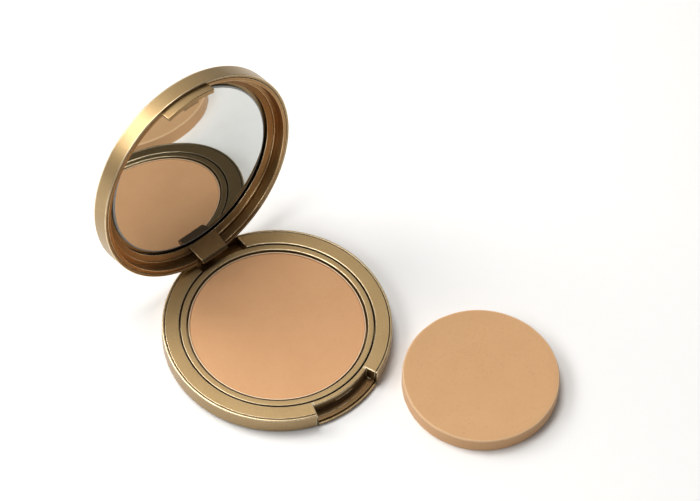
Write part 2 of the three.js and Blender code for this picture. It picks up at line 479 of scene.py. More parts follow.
class Board:
    """The nodes of one material, or of the surroundings."""

    def __init__(self, holder: bpy.types.Material | bpy.types.World) -> None:
        """Starts an empty board.

        Args:
            holder: the material or the surroundings that the nodes belong to.
        """
        self.holder = holder
        holder.use_nodes = True
        self.tree = holder.node_tree
        self.tree.nodes.clear()
        self.spots = self.add("ShaderNodeTexCoord")
        self.place = self.spots.outputs["Object"]

    def add(self, kind: str, settings: dict | None = None,
            sockets: dict | None = None) -> bpy.types.Node:
        """Adds a node.

        Args:
            kind: node type.
            settings: the node's own settings.
            sockets: a value, a socket or a Signal for each input, by name or number.

        Returns:
            The node.
        """
        node = self.tree.nodes.new(kind)
        for key, value in (settings or {}).items():
            setattr(node, key, value)
        for key, value in (sockets or {}).items():
            target = node.inputs[key]
            if isinstance(value, Signal):
                value = value.socket
            if isinstance(value, bpy.types.NodeSocket):
                self.tree.links.new(value, target)
            elif isinstance(value, tuple) and len(value) == 3 and target.type == "RGBA":
                target.default_value = (*value, 1.0)
            else:
                target.default_value = value
        return node

    def grain(self, size: float, detail: float = 2.0, stretch: Colour = (1.0, 1.0, 1.0)) -> Signal:
        """Noise whose blobs are about one size across.

        Args:
            size: millimetres from blob to blob.
            detail: how many finer layers lie on top.
            stretch: scale along each axis, below 1 for longer blobs.

        Returns:
            The noise, about 0.5 on average.
        """
        spot = self.add("ShaderNodeMapping", {}, {"Vector": self.place, "Scale": stretch})
        node = self.add("ShaderNodeTexNoise", {"noise_dimensions": "3D"}, {
            "Vector": spot.outputs[0], "Scale": 1.0 / (size * MM), "Detail": detail, "Roughness": 0.55})
        return Signal(self, node.outputs[0])

    def cells(self, size: float) -> Signal:
        """Distance to the nearest of scattered points, for pores.

        Args:
            size: millimetres from point to point.

        Returns:
            The distance, in cells.
        """
        node = self.add("ShaderNodeTexVoronoi", {"feature": "F1"}, {
            "Vector": self.place, "Scale": 1.0 / (size * MM), "Randomness": 1.0})
        return Signal(self, node.outputs["Distance"])

    def nearness(self, spot: Triple, reach: float) -> Signal:
        """How near the surface is to a spot.

        Args:
            spot: the spot, in millimetres.
            reach: how far from it the nearness falls to 0.

        Returns:
            1 within a third of the reach, 0 beyond it.
        """
        node = self.add("ShaderNodeVectorMath", {"operation": "DISTANCE"}, {
            0: self.place, 1: tuple(v * MM for v in spot)})
        away = Signal(self, node.outputs["Value"])
        return 1.0 - away.between(reach * MM / 3, reach * MM)

    def depth(self, mouth: Triple, inward: Triple) -> Signal:
        """How far the surface lies beyond a plane, in metres.

        Args:
            mouth: a point of the plane, in millimetres.
            inward: direction in which the depth grows.

        Returns:
            The depth, negative before the plane.
        """
        away = self.add("ShaderNodeVectorMath", {"operation": "SUBTRACT"}, {
            0: self.place, 1: tuple(v * MM for v in mouth)})
        along = self.add("ShaderNodeVectorMath", {"operation": "DOT_PRODUCT"}, {
            0: away.outputs[0], 1: inward})
        return Signal(self, along.outputs["Value"])

    def edges(self) -> Signal:
        """The edge mark that the mesh carries."""
        node = self.add("ShaderNodeAttribute", {"attribute_name": EDGE_MARK})
        return Signal(self, node.outputs["Fac"])

    def blend(self, amount: Signal, under: Colour | bpy.types.NodeSocket,
              over: Colour | bpy.types.NodeSocket) -> bpy.types.NodeSocket:
        """Mixes two colours.

        Args:
            amount: share of the second colour.
            under: first colour.
            over: second colour.

        Returns:
            The mixed colour.
        """
        node = self.add("ShaderNodeMix", {"data_type": "RGBA"}, {
            MIX_FACTOR: amount, MIX_UNDER: under, MIX_OVER: over})
        return node.outputs[MIX_RESULT]

    def relief(self, height: Signal, depth: float) -> bpy.types.NodeSocket:
        """Surface relief.

        Args:
            height: pattern from 0 to 1.
            depth: millimetres that 0 to 1 stands for.

        Returns:
            The bent normal.
        """
        node = self.add("ShaderNodeBump", {}, {
            "Height": height, "Distance": depth * MM, "Strength": 1.0})
        return node.outputs["Normal"]

    def surface(self, **sockets: object) -> bpy.types.Material:
        """Ends the board with a Principled shader and gives the material.

        Returns:
            The finished material.
        """
        named = {key.replace("_", " "): value for key, value in sockets.items()}
        shader = self.add("ShaderNodeBsdfPrincipled", {}, named)
        self.add("ShaderNodeOutputMaterial", {}, {"Surface": shader.outputs[0]})
        return self.holder


# ---- Finishes ------------------------------------------------------------------------


@dataclass(frozen=True)
class Patch:
    """A place where a lacquer has another tone.

    Attributes:
        spot: middle of the place, in millimetres.
        reach: how far from the middle the tone is gone.
        tone: the other tone.
        share: how much of it shows in the middle.
    """

    spot: Triple
    reach: float
    tone: Colour
    share: float = 0.72


@dataclass(frozen=True)
class PaintedHollowShade:
    """A hollow into which shade is painted on a lacquer, darker with depth.

    Attributes:
        mouth: a point in the hollow's mouth, in millimetres.
        inward: direction into the hollow.
        fade: depth at which the painted shade is full, in millimetres.
        tone: the painted shade's tone.
        share: how much of it shows at full depth.
    """

    mouth: Triple
    inward: Triple
    fade: float
    tone: Colour
    share: float


@dataclass(frozen=True)
class Finish:
    """What a piece can be dressed in."""

    name: str

    def material(self) -> bpy.types.Material:
        """Builds the finish on a board of its own."""
        return self.painted(Board(bpy.data.materials.new(self.name)))

    def painted(self, board: Board) -> bpy.types.Material:
        """Draws the finish on a board; every finish has its own way."""
        raise NotImplementedError


@dataclass(frozen=True)
class SatinLacquer(Finish):
    """Metallised lacquer with a fine sparkle grain; its edges are lightened both for wear and as painted
    highlight lines, and it can carry painted shade round the hinge and in a hollow, and patches of other
    tone.
    """

    tone: Colour
    deep_tone: Colour
    # Tone of the edges, partly wear and partly painted highlight.
    wear_highlight_tone: Colour
    roughness: float = 0.43
    grain_size: float = 0.42
    relief: float = 0.010
    coat: float = 0.30
    patches: tuple[Patch, ...] = ()
    # Painted shade in a hollow, when there is one.
    hollow_shade: PaintedHollowShade | None = None

    def painted(self, board: Board) -> bpy.types.Material:
        """Draws the lacquer.

        Args:
            board: an empty board.

        Returns:
            The finished material.
        """
        cloud = board.grain(9.0, 3.0).between(0.3, 0.7)
        fleck = board.grain(self.grain_size, 1.0)
        sparkle = fleck.between(0.35, 0.7)
        # Edges lightened, partly for wear and partly as painted highlight lines.
        wear_and_highlight = board.edges() * board.grain(2.5, 3.0).between(0.15, 0.45)
        base = board.blend(cloud * 0.35 + sparkle * 0.4, self.tone, self.deep_tone)
        colour = board.blend(wear_and_highlight * 0.7, base, self.wear_highlight_tone)
        for patch in self.patches:
            amount = board.nearness(patch.spot, patch.reach) * (0.75 + board.grain(1.8, 3.0) * 0.5)
            colour = board.blend(amount.between(0.0, 1.0) * patch.share, colour, patch.tone)
        # Painted shade, darker with depth into the hollow; the edges keep their painted highlight.
        if self.hollow_shade is not None:
            hollow = self.hollow_shade
            depth = board.depth(hollow.mouth, hollow.inward).between(0.0, hollow.fade * MM)
            colour = board.blend(depth * (1.0 - wear_and_highlight * 0.8) * hollow.share, colour, hollow.tone)
        smear = board.grain(14.0, 4.0).between(0.35, 0.7)
        rough = self.roughness + (smear - 0.5) * 0.06 + (sparkle - 0.5) * 0.06 - wear_and_highlight * 0.12
        bent = board.relief(fleck + board.grain(1.6, 1.0) * 0.6, self.relief)
        return board.surface(Base_Color=colour, Metallic=1.0, Roughness=rough, Normal=bent,
                             Coat_Weight=self.coat, Coat_Roughness=0.32)


@dataclass(frozen=True)
class PressedPowder(Finish):
    """Matte cake of pressed powder with the faint print of the press cloth."""

    name: str = "pressed_powder"
    tone: Colour = (0.655, 0.350, 0.168)
    pale_tone: Colour = (0.710, 0.395, 0.198)
    deep_tone: Colour = (0.550, 0.270, 0.120)

    def painted(self, board: Board) -> bpy.types.Material:
        """Draws the powder.

        Args:
            board: an empty board.

        Returns:
            The finished material.
        """
        cloud = board.grain(11.0, 3.0).between(0.3, 0.7)
        dust = board.grain(0.7, 3.0)
        speck = board.grain(0.9, 1.0).between(0.66, 0.74)
        base = board.blend(cloud * 0.5 + dust.between(0.3, 0.7) * 0.25, self.tone, self.pale_tone)
        colour = board.blend(speck * 0.25, base, self.deep_tone)
        print_cloth = board.grain(0.55, 0.0, (1.0, 0.25, 1.0)) + board.grain(0.55, 0.0, (0.25, 1.0, 1.0))
        bent = board.relief(dust + print_cloth * 0.35, 0.022)
        rough = 0.86 + cloud * 0.08
        return board.surface(Base_Color=colour, Roughness=rough, Normal=bent, Sheen_Weight=0.12,
                             Sheen_Roughness=0.6, Specular_IOR_Level=0.2)


@dataclass(frozen=True)
class LatexFoam(Finish):
    """Dense latex foam with fine open pores and a pale painted highlight along its rims."""

    name: str = "latex_foam"
    tone: Colour = (0.615, 0.352, 0.170)
    pale_tone: Colour = (0.665, 0.395, 0.198)
    pore_tone: Colour = (0.440, 0.218, 0.095)
    rim_highlight_tone: Colour = (0.83, 0.60, 0.38)

    def painted(self, board: Board) -> bpy.types.Material:
        """Draws the foam.

        Args:
            board: an empty board.

        Returns:
            The finished material.
        """
        cloud = board.grain(13.0, 3.0).between(0.3, 0.7)
        pores = 1.0 - board.cells(0.62).between(0.10, 0.34)
        few = board.grain(1.3, 2.0).between(0.46, 0.60)
        open_pores = pores * few
        base = board.blend(cloud * 0.55, self.tone, self.pale_tone)
        # Pale painted highlight along the rims.
        painted_rim_highlight = board.blend(board.edges() * 0.45, base, self.rim_highlight_tone)
        colour = board.blend(open_pores * 0.60, painted_rim_highlight, self.pore_tone)
        height = board.grain(0.45, 2.0) * 0.6 - open_pores * 0.9
        bent = board.relief(height, 0.035)
        return board.surface(Base_Color=colour, Roughness=0.90 + cloud * 0.05, Normal=bent,
                             Sheen_Weight=0.2, Sheen_Roughness=0.5, Specular_IOR_Level=0.25)


@dataclass(frozen=True)
class SilveredGlass(Finish):
    """Silvered mirror glass with the faintest haze of handling."""

    name: str = "silvered_glass"
    tone: Colour = (0.775, 0.795, 0.775)
    hazy_tone: Colour = (0.740, 0.755, 0.730)
    ground_tone: Colour = (0.50, 0.53, 0.53)

    def painted(self, board: Board) -> bpy.types.Material:
        """Draws the mirror.

        Args:
            board: an empty board.

        Returns:
            The finished material.
        """
        haze = board.grain(16.0, 4.0).between(0.45, 0.75)
        ground = board.edges()
        colour = board.blend(ground, board.blend(haze, self.tone, self.hazy_tone), self.ground_tone)
        rough = 0.012 + haze * 0.02 + ground * 0.35
        return board.surface(Base_Color=colour, Metallic=1.0 - ground * 0.9, Roughness=rough)


@dataclass(frozen=True)
class PressedTin(Finish):
    """Bright tinplate with drawing marks and a bare rolled edge."""

    name: str = "pressed_tin"
    tone: Colour = (0.93, 0.78, 0.60)
    dull_tone: Colour = (0.76, 0.60, 0.43)
    dust_tone: Colour = (0.82, 0.63, 0.42)

    def painted(self, board: Board) -> bpy.types.Material:
        """Draws the tinplate.

        Args:
            board: an empty board.

        Returns:
            The finished material.
        """
        marks = board.grain(0.6, 2.0, (1.0, 1.0, 0.15)).between(0.3, 0.7)
        patch = board.grain(7.0, 3.0).between(0.35, 0.65)
        bare = board.blend(patch * 0.6 + marks * 0.25, self.tone, self.dull_tone)
        dusted = board.edges()
        colour = board.blend(dusted, bare, self.dust_tone)
        return board.surface(Base_Color=colour, Metallic=0.9 - dusted * 0.6,
                             Roughness=0.30 + patch * 0.10, Normal=board.relief(marks, 0.006))


@dataclass(frozen=True)
class PlainFinish(Finish):
    """A plain finish with mottling, for the small parts inside and underneath."""

    tone: Colour
    other_tone: Colour
    roughness: float
    metallic: float = 0.0
    grain_size: float = 0.5
    relief: float = 0.008

    def painted(self, board: Board) -> bpy.types.Material:
        """Draws the finish.

        Args:
            board: an empty board.

        Returns:
            The finished material.
        """
        patch = board.grain(6.0, 3.0).between(0.3, 0.7)
        fine = board.grain(self.grain_size, 2.0)
        colour = board.blend(patch * 0.6 + fine * 0.3, self.tone, self.other_tone)
        return board.surface(Base_Color=colour, Metallic=self.metallic,
                             Roughness=self.roughness + patch * 0.06,
                             Normal=board.relief(fine, self.relief))


OUTER_GOLD = SatinLacquer("outer_gold", tone=(0.392, 0.270, 0.127), deep_tone=(0.312, 0.206, 0.088),
                          wear_highlight_tone=(0.86, 0.72, 0.49))
LINER_GOLD = SatinLacquer("liner_gold", tone=(0.375, 0.210, 0.074), deep_tone=(0.295, 0.152, 0.047),
                          wear_highlight_tone=(0.90, 0.70, 0.42), roughness=0.39)
# Tone of the painted shade round the hinge.
HINGE_SHADE_TONE = (0.095, 0.058, 0.024)


def dress(piece: bpy.types.Object, finish: Finish) -> None:
    """Gives a piece one finish in all its places."""
    piece.data.materials.clear()
    piece.data.materials.append(finish.material())


def dress_part(node: str, finish: Finish) -> None:
    """Gives a part of the frame a finish in the slots that it has.

    Args:
        node: name of the part in the frame.
        finish: its finish.
    """
    part = frame["nodes"][node]
    stuff = finish.material()
    if not part.material_slots:
        part.data.materials.append(stuff)
    for place in part.material_slots:
        place.material = stuff
    LOG.info("dressed %s", node)


def hinge_shade(pin: Vector, reach: float) -> Patch:
    """Painted shade round the hinge, out to a reach from just under the pin."""
    return Patch((pin.x, pin.y, pin.z - 1.0), reach, HINGE_SHADE_TONE)


def settle(piece: bpy.types.Object, finish: Finish, body: Body, slot: Slot, *nodes: str) -> None:
    """Dresses a piece and puts it on its body in place of the parts that it stands for.

    Args:
        piece: the piece.
        finish: its finish.
        body: what it moves with.
        slot: its finish in the parts list; not used.
        nodes: the parts of the frame that it replaces.
    """
    dress(piece, finish)
    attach(piece, body.value)
    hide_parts(*nodes)
    LOG.info("%s: %d faces on %s", piece.name, len(piece.data.polygons), body.value)


# ---- The base ------------------------------------------------------------------------


@dataclass
class Case:
    """The compact's base: outer cup, broad deck with notch and hinge, and the pan's seat.

    Lengths are in millimetres and angles in radians; pin is a point on the hinge pin.
    """

    pin: Vector
    radius: float = measured(half_width, "base_shell")
    height: float = measured(ends_at, "base_shell")
    wall: float = 0.75
    floor: float = 1.3
    clearance: float = 0.05
    foot_round: float = 1.3
    rim_round: float = 0.34
    rim_inner_round: float = 0.1
    soft_round: float = 0.3
    crisp_round: float = 0.16
    deck_gap: float = 0.25
    slip: float = 0.15
    label_radius: float = measured(half_width, "base_label")
    label_recess: float = 0.23
    label_lip_round: float = 0.12
    label_flat_edge: float = 0.8
    label_raised_edge: float = 0.3
    label_lift: float = 0.02
    deck_inner: float = 32.35
    notch_inner: float = 33.9
    notch_half_angle: float = 0.343
    notch_lip: float = 1.35
    notch_floor: float = 2.2
    notch_step: float = 35.6
    notch_step_run: float = 0.15
    notch_step_drop: float = 0.25
    notch_fall: float = 0.75
    notch_cut_depth: float = 2.0
    notch_turn_slack: float = 0.01
    notch_lip_slack: float = 0.1
    rib_height: float = 4.5
    rib_thickness: float = 0.5
    rib_root: float = 0.5
    rib_reach: float = 0.3
    rib_round: float = 0.12
    rib_half_angle: float = 0.105
    seat_outer: float = measured(half_width, "pan_well")
    seat_inner: float = 29.85
    seat_top: float = measured(ends_at, "pan_well")
    seat_floor: float = 2.9
    magnet_pocket: float = 6.15
    magnet_depth: float = 0.95
    gap_left: float = -5.6
    gap_right: float = 12.0
    gap_floor: float = 3.4
    gap_reach_in: float = 5.0
    gap_foot: float = 0.2
    side_slack: float = 0.02
    side_turn_slack: float = 0.004
    top_slack: float = 0.05
    tongue_half_width: float = 3.0
    tongue_radius: float = 1.6
    tongue_front: float = 36.3
    tongue_foot: float = 0.9
    tongue_sunk: float = 0.8
    tongue_shoulder: float = 0.4
    tongue_drop: float = 1.8
    relief_radius: float = 3.0
    relief_half_width: float = 9.0
    cup_cut_soft: float = 0.2
    deck_cut_soft: float = 0.28
    # Reach of the painted shade round the hinge.
    hinge_shade_reach: float = 13.0
    far: float = 50.0

    def hinge_relief(self) -> bmesh.types.BMesh:
        """Cutter for the trough in which the lid's rim swings."""
        return bar_along_x(self.pin.y, self.pin.z, self.relief_radius, self.relief_half_width)

    def cup(self) -> bpy.types.Object:
        """Outer cup with a rounded foot, a rolled rim and a finger-notch cut.

        Returns:
            The finished piece.
        """
        section = (
            Section().at(0, self.label_recess).at(self.label_radius + self.slip, self.label_recess)
            .at(self.label_radius + self.slip, 0, self.label_lip_round)
            .at(self.radius, 0, self.foot_round).at(self.radius, self.height, self.rim_round)
            .at(self.radius - self.wall, self.height, self.rim_inner_round)
            .at(self.radius - self.wall, self.floor).at(0, self.floor)
        )
        cut = self.radius - self.notch_cut_depth
        notch = (
            Section(steps=12).at(cut, self.notch_lip).at(self.far, self.notch_lip)
            .at(self.far, self.far).at(cut, self.far)
        ).stretch(self.notch_half_angle)
        gap = box_between((self.gap_left, self.deck_inner, self.gap_floor + self.slip),
                          (-self.gap_left, self.far, self.far))
        solid = worked(section.spun(6), [
            (Join.CARVE, notch), (Join.CARVE, gap), (Join.CARVE, self.hinge_relief())])
        soften(solid, self.cup_cut_soft, 3, where=self._on_notch)
        return finished(solid, "base_cup")

    def _on_notch(self, middle: Vector) -> bool:
        """Whether an edge belongs to the finger notch.

        Args:
            middle: the edge's middle, in millimetres.

        Returns:
            True if it does.
        """
        turn = abs(math.atan2(middle.x, -middle.y))
        within = turn < self.notch_half_angle + self.notch_turn_slack
        return within and middle.y < 0 and middle.z > self.notch_lip - self.notch_lip_slack

    def deck(self) -> bpy.types.Object:
        """Broad flat deck with the notch's walls, its catch rib and the hinge tongue.

        Returns:
            The finished piece.
        """
        outer = self.radius - self.wall - self.deck_gap
        low = self.floor + self.clearance
        ring = (
            Section().at(self.deck_inner, low).at(outer, low).at(outer, self.height, self.crisp_round)
            .at(self.deck_inner, self.height, self.soft_round)
        ).spun(3)
        hollow = (
            Section(steps=26).at(self.notch_inner, self.notch_floor, self.soft_round)
            .at(self.notch_step, self.notch_floor)
            .at(self.notch_step + self.notch_step_run, self.notch_floor - self.notch_step_drop)
            .at(self.far, self.notch_floor - self.notch_fall)
            .at(self.far, self.far).at(self.notch_inner, self.far)
        ).stretch(self.notch_half_angle)
        root, nose = self.notch_inner - self.rib_root, self.notch_inner + self.rib_reach
        under, over = self.rib_height, self.rib_height + self.rib_thickness
        rib = (
            Section(steps=10).at(root, under).at(nose, under, self.rib_round)
            .at(nose, over, self.rib_round).at(root, over)
        ).stretch(self.rib_half_angle)
        gap = box_between((self.gap_left, self.deck_inner - self.gap_reach_in, self.gap_floor),
                          (self.gap_right, self.far, self.far))
        solid = worked(ring, [
            (Join.CARVE, hollow), (Join.CARVE, gap), (Join.CARVE, self.hinge_relief()),
            (Join.WELD, rib), (Join.WELD, self.tongue())])
        soften(solid, self.deck_cut_soft, 3, where=self._on_cut)
        return finished(solid, "case_deck")

    def _on_cut(self, middle: Vector) -> bool:
        """Whether an edge lies on the deck's top where the notch or the hinge gap cuts it.

        Args:
            middle: the edge's middle, in millimetres.

        Returns:
            True if it does.
        """
        turn = abs(math.atan2(middle.x, -middle.y))
        from_side = abs(turn - self.notch_half_angle)
        from_gap = min(abs(middle.x - self.gap_left), abs(middle.x - self.gap_right))
        on_side = from_side < self.side_turn_slack and middle.z > self.notch_floor
        on_top = turn < self.notch_half_angle and abs(middle.z - self.height) < self.top_slack
        on_gap = from_gap < self.side_slack and middle.z > self.gap_floor + self.gap_foot
        return on_side or on_top or (middle.y > 0 and on_gap)

    def tongue(self) -> bmesh.types.BMesh:
        """Upright tongue, rounded about the pin.

        Returns:
            A closed solid, in millimetres.
        """
        pin, front, low = self.pin, self.tongue_front, self.tongue_front - self.tongue_foot
        wall_line = self.radius - self.wall - self.deck_gap - self.clearance
        sunk, shoulder = self.gap_floor - self.tongue_sunk, self.gap_floor + self.tongue_shoulder
        crown = arc(pin, self.tongue_radius, 0, 180, 16)
        outline = [
            (low, sunk), (wall_line, sunk), (wall_line, shoulder),
            (pin.y + self.tongue_radius, shoulder), *crown, (front, pin.z - self.tongue_drop),
            (front, shoulder), (low, self.gap_floor),
        ]
        return drawn_out(outline, self.tongue_half_width)

    def seat(self) -> bpy.types.Object:
        """Cup that the pan drops into, with its narrow flat ring.

        Returns:
            The finished piece.
        """
        low = self.floor + self.clearance
        pocket = low + self.magnet_depth
        section = (
            Section().at(0, pocket).at(self.magnet_pocket, pocket).at(self.magnet_pocket, low)
            .at(self.seat_outer, low, self.soft_round)
            .at(self.seat_outer, self.seat_top, self.crisp_round)
            .at(self.seat_inner, self.seat_top, self.soft_round)
            .at(self.seat_inner, self.seat_floor, self.soft_round).at(0, self.seat_floor)
        )
        return finished(section.spun(3), "pan_seat")

    def label(self) -> bpy.types.Object:
        """Blank round label, its edge very slightly raised by the die.

        Returns:
            The finished piece.
        """
        back = ends_at("base_label")
        section = (
            Section(steps=160).at(0, self.label_lift)
            .at(self.label_radius - self.label_flat_edge, self.label_lift)
            .at(self.label_radius - self.label_raised_edge, 0.0)
            .at(self.label_radius, 0.0, 0.05).at(self.label_radius, back).at(0, back)
        )
        return finished(section.spun(2), "blank_label")

    def build(self) -> None:
        """Makes and dresses the base."""
        # The deck's gold gets painted shade round the hinge, and painted shade that deepens below the
        # deck's face in the notch and the hinge gap.
        mouth = (0.0, 0.0, self.height - self.soft_round)
        deck_gold_painted_shade = replace(
            OUTER_GOLD, name="deck_gold", patches=(hinge_shade(self.pin, self.hinge_shade_reach),),
            hollow_shade=PaintedHollowShade(mouth, tuple(-UPRIGHT), fade=1.8, tone=(0.150, 0.080, 0.028), share=0.85))
        paper = PlainFinish("label_paper", (0.80, 0.77, 0.70), (0.72, 0.68, 0.60), 0.62, relief=0.01)
        settle(self.cup(), OUTER_GOLD, Body.BASE, Slot.SATIN_GOLD, "base_shell")
        settle(self.deck(), deck_gold_painted_shade, Body.BASE, Slot.SATIN_GOLD, "deck_collar")
        settle(self.seat(), OUTER_GOLD, Body.BASE, Slot.SATIN_GOLD, "pan_well")
        settle(self.label(), paper, Body.BASE, Slot.LABEL, "base_label")
        dress_part("hinge_pin", PlainFinish(
            "pin_wire", (0.56, 0.55, 0.53), (0.44, 0.43, 0.41), 0.28, metallic=1.0, grain_size=0.3))
        dress_part("pan_magnet", PlainFinish(
            "sintered", (0.07, 0.07, 0.08), (0.11, 0.10, 0.10), 0.5, metallic=0.5))


# ---- The powder ----------------------------------------------------------------------


@dataclass
class PowderPan:
    """The lift-out pan and the powder pressed into it; lengths are in millimetres."""

    radius: float = measured(half_width, "powder_pan")
    low: float = measured(starts_at, "powder_pan")
    high: float = measured(ends_at, "powder_pan")
    wall: float = 0.35
    powder_top: float = measured(ends_at, "powder_cake")
    powder_low: float = measured(starts_at, "powder_cake")
    powder_radius: float = measured(half_width, "powder_cake")
    rim_round: float = 0.12
    foot_round: float = 0.5
    cove_round: float = 0.4
    cake_foot_round: float = 0.45
    cake_side_round: float = 0.1
    cake_edge_round: float = 0.2
    edge_run: float = 0.55
    edge_drop: float = 0.12
    dome: float = 0.05
    dome_rings: int = 12
    unevenness: float = 0.02

    def tray(self) -> bpy.types.Object:
        """Drawn tin tray with a rounded bare edge.

        Returns:
            The finished piece.
        """
        inner = self.radius - self.wall
        section = (
            Section().at(0, self.low).at(self.radius, self.low, self.foot_round)
            .at(self.radius, self.high, self.rim_round).at(inner, self.high, self.rim_round)
            .at(inner, self.low + self.wall, self.cove_round).at(0, self.low + self.wall)
        )
        return finished(section.spun(4), "powder_tray")

    def cake(self) -> bpy.types.Object:
        """Cake of powder, faintly domed, with the soft edge that pressing leaves.

        Returns:
            The finished piece.
        """
        edge = self.powder_radius
        top = self.powder_top
        flat = edge - self.edge_run
        section = (
            Section(steps=192).at(0, self.powder_low).at(edge, self.powder_low, self.cake_foot_round)
            .at(edge, top - self.dome - self.edge_drop, self.cake_side_round)
            .at(flat, top - self.dome, self.cake_edge_round)
        )
        for ring in range(1, self.dome_rings):
            r = flat * (1 - ring / self.dome_rings)
            section.at(r, top - self.dome * (r / edge) ** 2)
        section.at(0, top)
        solid = section.spun(3)
        for vert in solid.verts:
            if vert.co.z > top - self.dome - self.edge_drop / 2:
                vert.co.z -= self.unevenness * (noise.noise(vert.co * 0.12) + 0.6)
        return finished(solid, "pressed_cake", even_shading=False)

    def build(self) -> None:
        """Makes and dresses the pan and its powder."""
        settle(self.tray(), PressedTin(), Body.PAN, Slot.TINPLATE, "powder_pan")
        settle(self.cake(), PressedPowder(), Body.PAN, Slot.POWDER, "powder_cake")


# ---- The lid -------------------------------------------------------------------------


@dataclass
class Lid:
    """The lid, built shut and then turned open about its pin.

    Lengths are in millimetres; open_turn is in radians.
    """

    pin: Vector
    open_turn: float
    radius: float = field(default_factory=lambda: half_width("lid_shell") - FACET_SLACK)
    rim: float = 7.1
    top: float = 13.685
    crown: float = 0.35
    crown_rings: int = 14
    shoulder: float = 1.1
    rim_round: float = 0.32
    rim_outer_round: float = 0.1
    rim_inner_round: float = 0.22
    wall_round: float = 0.12
    wall_draft: float = 0.1
    ledge_round: float = 0.16
    band_round: float = 0.14
    skin: float = 0.95
    slip: float = 0.15
    rim_inner: float = 35.9
    ledge_height: float = 10.0
    ledge_inner: float = 34.3
    band_top: float = 10.7
    band_drop: float = 0.2
    mirror_radius: float = measured(half_width, "mirror")
    mirror_face: float = 11.6
    mirror_thickness: float = 1.0
    mirror_gap: float = 1.1
    bevel: float = 0.6
    gap_shade: float = 0.15
    lid_gap: float = 0.25
    latch_inner: float = 35.35
    latch_outer: float = 37.05
    latch_half_angle: float = 0.262
    latch_tip: float = 3.9
    latch_soft: float = 0.26
    latch_root: float = 0.4
    latch_reach: float = 17.0
    bump_inner: float = 34.4
    bump_low: float = 3.95
    bump_top: float = 4.35
    bump_lead_in: float = 0.12
    bump_hook: float = 0.1
    bump_half_angle: float = 0.084
    lug_tip: float = 4.5
    lug_tip_half: float = 5.1
    lug_root_half: float = 6.0
    lug_radius: float = 1.55
    lug_root: float = 32.4
    lug_face: float = 34.95
    lug_back: float = 36.4
    lug_slant: float = 0.85
    lug_chamfer: float = 0.5
    lug_soft: float = 0.2
    lug_soft_turn: float = 24.0
    cheek_inner: float = 3.25
    pin_hole: float = 0.68
    hinge_cut_height: float = 2.1
    hinge_cut_depth: float = 3.0
    hinge_cut_soft: float = 0.14
    cavity_height: float = 1.85
    cavity_front: float = 36.05
    cavity_lip: float = 0.45
    cavity_lead: float = 0.5
    # Reach of the painted shade round the hinge.
    hinge_shade_reach: float = 20.0
    far: float = 50.0

    def opened(self) -> Matrix:
        """Turn from shut to open, in metres.

        Returns:
            The turn.
        """
        pivot = self.pin * MM
        turn = Matrix.Rotation(-self.open_turn, 4, "X")
        return Matrix.Translation(pivot) @ turn @ Matrix.Translation(-pivot)

    def cover(self) -> bpy.types.Object:
        """Outer cover: crowned top, rounded shoulder, straight wall.

        Returns:
            The finished piece.
        """
        edge = self.radius - self.shoulder
        section = Section().at(0, self.top + self.crown)
        for ring in range(1, self.crown_rings):
            r = edge * ring / self.crown_rings
            section.at(r, self.top + self.crown * (1 - (r / edge) ** 2))
        section.at(self.radius, self.top, self.shoulder).at(self.radius, self.rim, self.rim_round)
        section.at(self.radius - self.skin, self.rim, self.wall_round)
        section.at(self.radius - self.skin, self.top - self.skin).at(0, self.top - self.skin)
        half = self.lug_root_half + self.slip
        over = self.pin.z + self.hinge_cut_height
        hinge = box_between((-half, self.radius - self.hinge_cut_depth, 0), (half, self.far, over))
        solid = worked(section.spun(7), [(Join.CARVE, hinge)])
        soften(solid, self.hinge_cut_soft,
               where=lambda m: m.y > 0 and abs(m.x) < half + 0.02 and m.z < over + 0.1)
        return finished(solid, "lid_cover", self.opened())

    def liner(self) -> bpy.types.Object:
        """Inner frame with its rim, wall, ledge and band, the latch tongue and the hinge lug.

        Returns:
            The finished piece.
        """
        outer = self.radius - self.skin - self.lid_gap
        back = self.top - self.skin - self.slip
        bore = self.mirror_radius + self.mirror_gap
        ring = (
            Section().at(outer, self.rim, self.rim_outer_round)
            .at(self.rim_inner, self.rim, self.rim_inner_round)
            .at(self.rim_inner - self.wall_draft, self.ledge_height, self.wall_round)
            .at(self.ledge_inner, self.ledge_height, self.ledge_round)
            .at(self.ledge_inner, self.band_top, self.band_round)
            .at(bore, self.mirror_face - self.band_drop, self.ledge_round)
            .at(bore, back).at(outer, back)
        ).spun(3)
        solid = worked(ring, [
            (Join.WELD, self.latch()), (Join.WELD, self.catch_bump()), (Join.WELD, self.lug()),
            (Join.CARVE, self.cavity()),
            (Join.CARVE, bar_along_x(self.pin.y, self.pin.z, self.pin_hole, self.lug_root_half + 1))])
        return finished(solid, "lid_liner", self.opened())

    def latch(self) -> bmesh.types.BMesh:
        """Curved tongue that drops into the finger notch.

        Returns:
            A closed solid, in millimetres.
        """
        root = self.ledge_height + self.latch_root
        solid = (
            Section(steps=20).at(self.latch_inner, self.latch_tip).at(self.latch_outer, self.latch_tip)
            .at(self.latch_outer, root).at(self.latch_inner, root)
        ).stretch(self.latch_half_angle)
        soften(solid, self.latch_soft, 3, where=lambda m: m.z < self.ledge_height)
        return solid

    def open_spot(self, depth: float, height: float) -> Triple:
        """Where a point of the shut lid's middle plane lies with the lid open, in millimetres."""
        return tuple(self.opened() @ (Vector((0.0, depth, height)) * MM) / MM)

    def catch_bump(self) -> bmesh.types.BMesh:
        """Low bump on the tongue that hooks under the notch's rib.

        Returns:
            A closed solid, in millimetres.
        """
        root = self.latch_inner + self.latch_root
        return (
            Section(steps=8).at(self.bump_inner, self.bump_low + self.bump_lead_in)
            .at(root, self.bump_low).at(root, self.bump_top)
            .at(self.bump_inner, self.bump_top - self.bump_hook)
        ).stretch(self.bump_half_angle)

